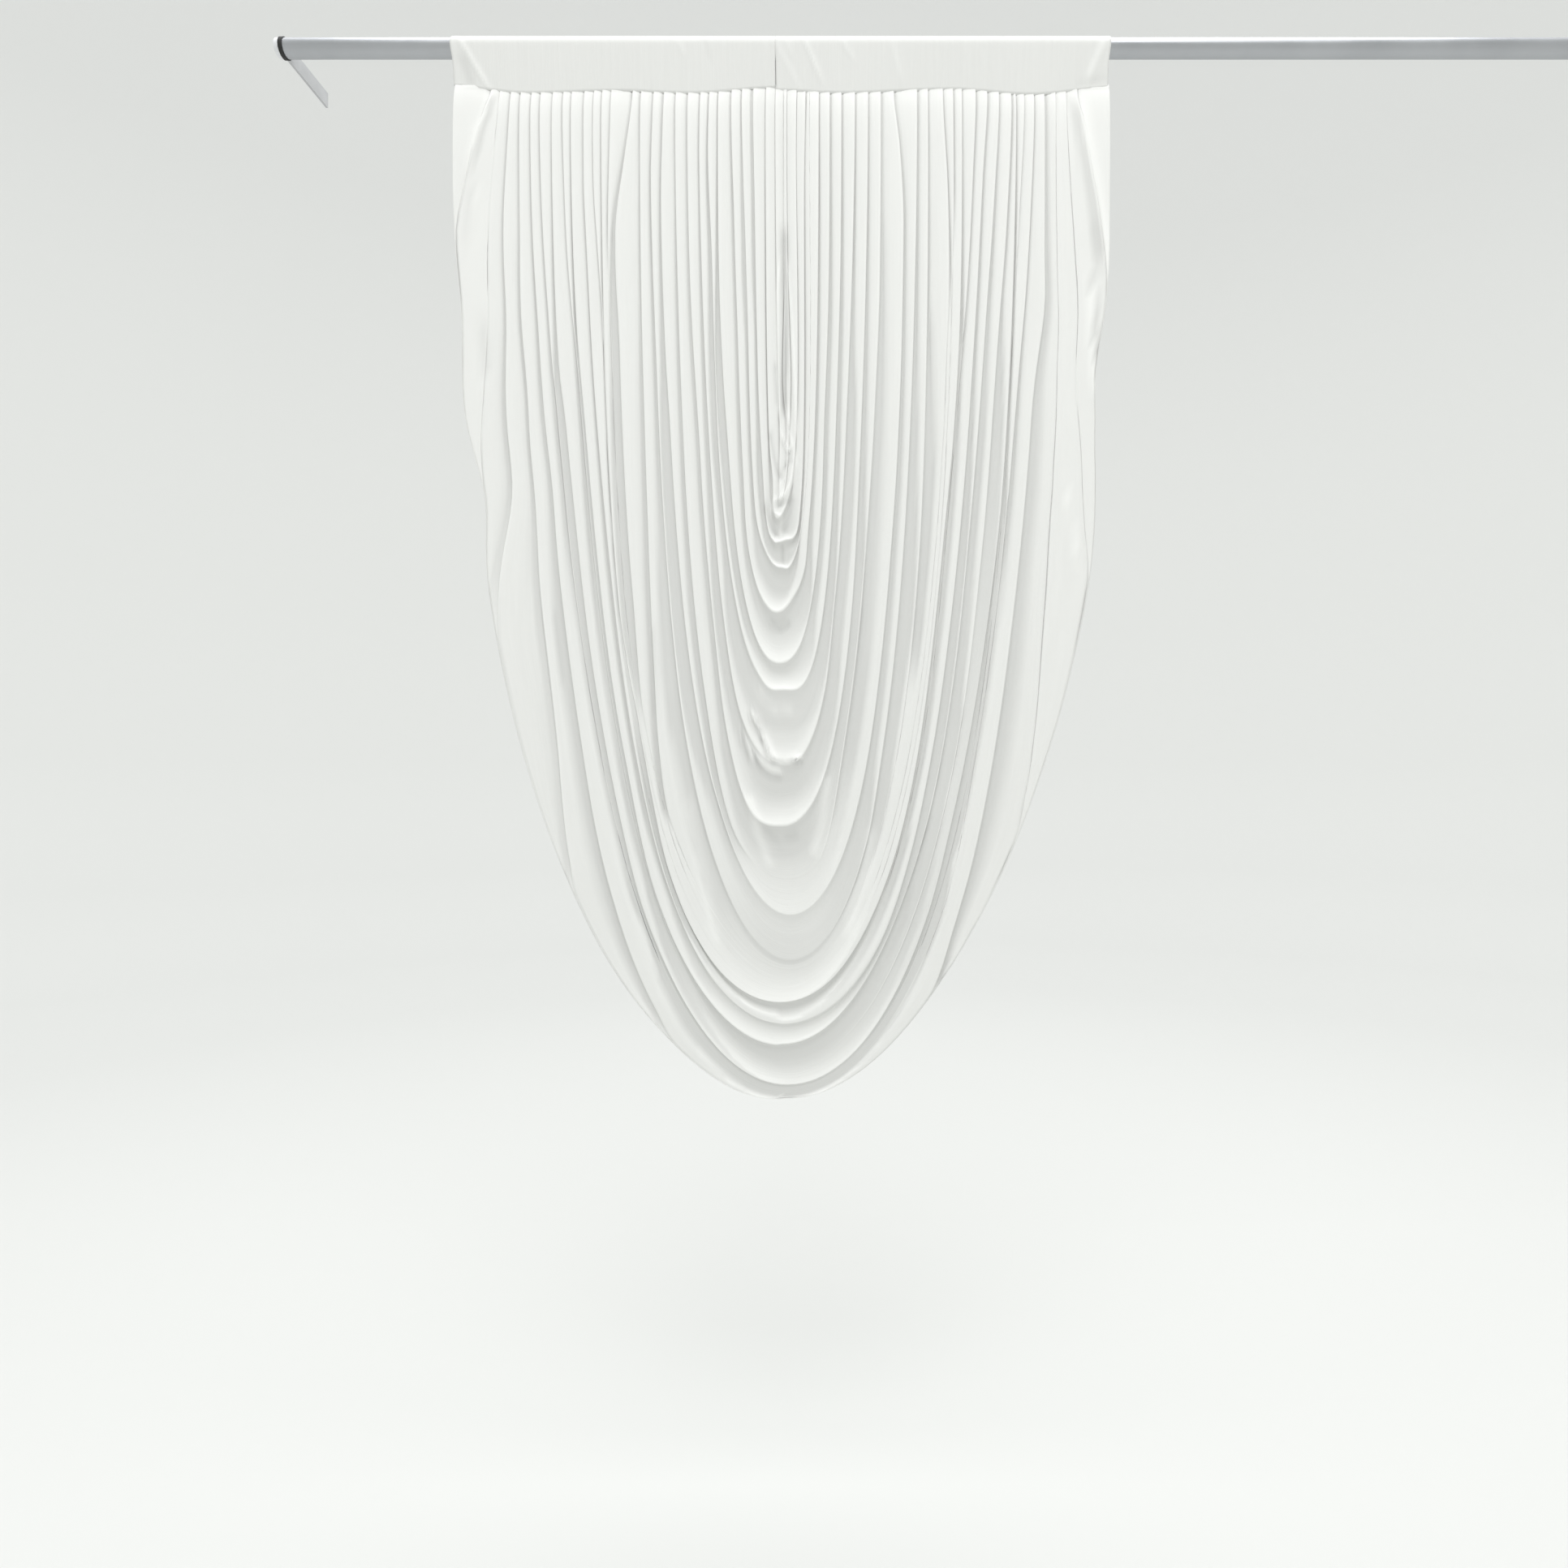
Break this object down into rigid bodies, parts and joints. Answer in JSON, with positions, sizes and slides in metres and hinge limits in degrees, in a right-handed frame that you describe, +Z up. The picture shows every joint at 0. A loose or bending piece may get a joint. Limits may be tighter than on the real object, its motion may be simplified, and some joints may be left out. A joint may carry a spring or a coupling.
{
  "type": "swag drape on a crossbar",
  "caption": "Deep pleated swag of white cloth hanging in one U from rod pocket headings on a round crossbar with hook arms.",
  "frame": {"origin": "middle of the left hook arm's rear face, where it bears on its upright post", "axes": "+X along the crossbar from the left arm to the right one, +Y from the drape back towards the posts, +Z up"},
  "size_m": [3, 0.2106, 2.1887],
  "materials": {
    "swag_cloth": "fine smooth knit with a soft sheen",
    "heading_cloth": "the same knit, pulled flat",
    "bar_metal": "satin drawn tube",
    "arm_metal": "satin grey",
    "collar_rubber": "matte black",
    "cap_plastic": "pale grey"
  },
  "bodies": {
    "root": {"swag": "swag_cloth", "heading_left": "heading_cloth", "heading_right": "heading_cloth", "rod": "bar_metal", "end_cap_left": "cap_plastic", "end_cap_right": "cap_plastic", "collar_left": "collar_rubber", "collar_right": "collar_rubber", "hook_arm_left": "arm_metal", "hook_arm_right": "arm_metal"}
  },
  "joints": []
}
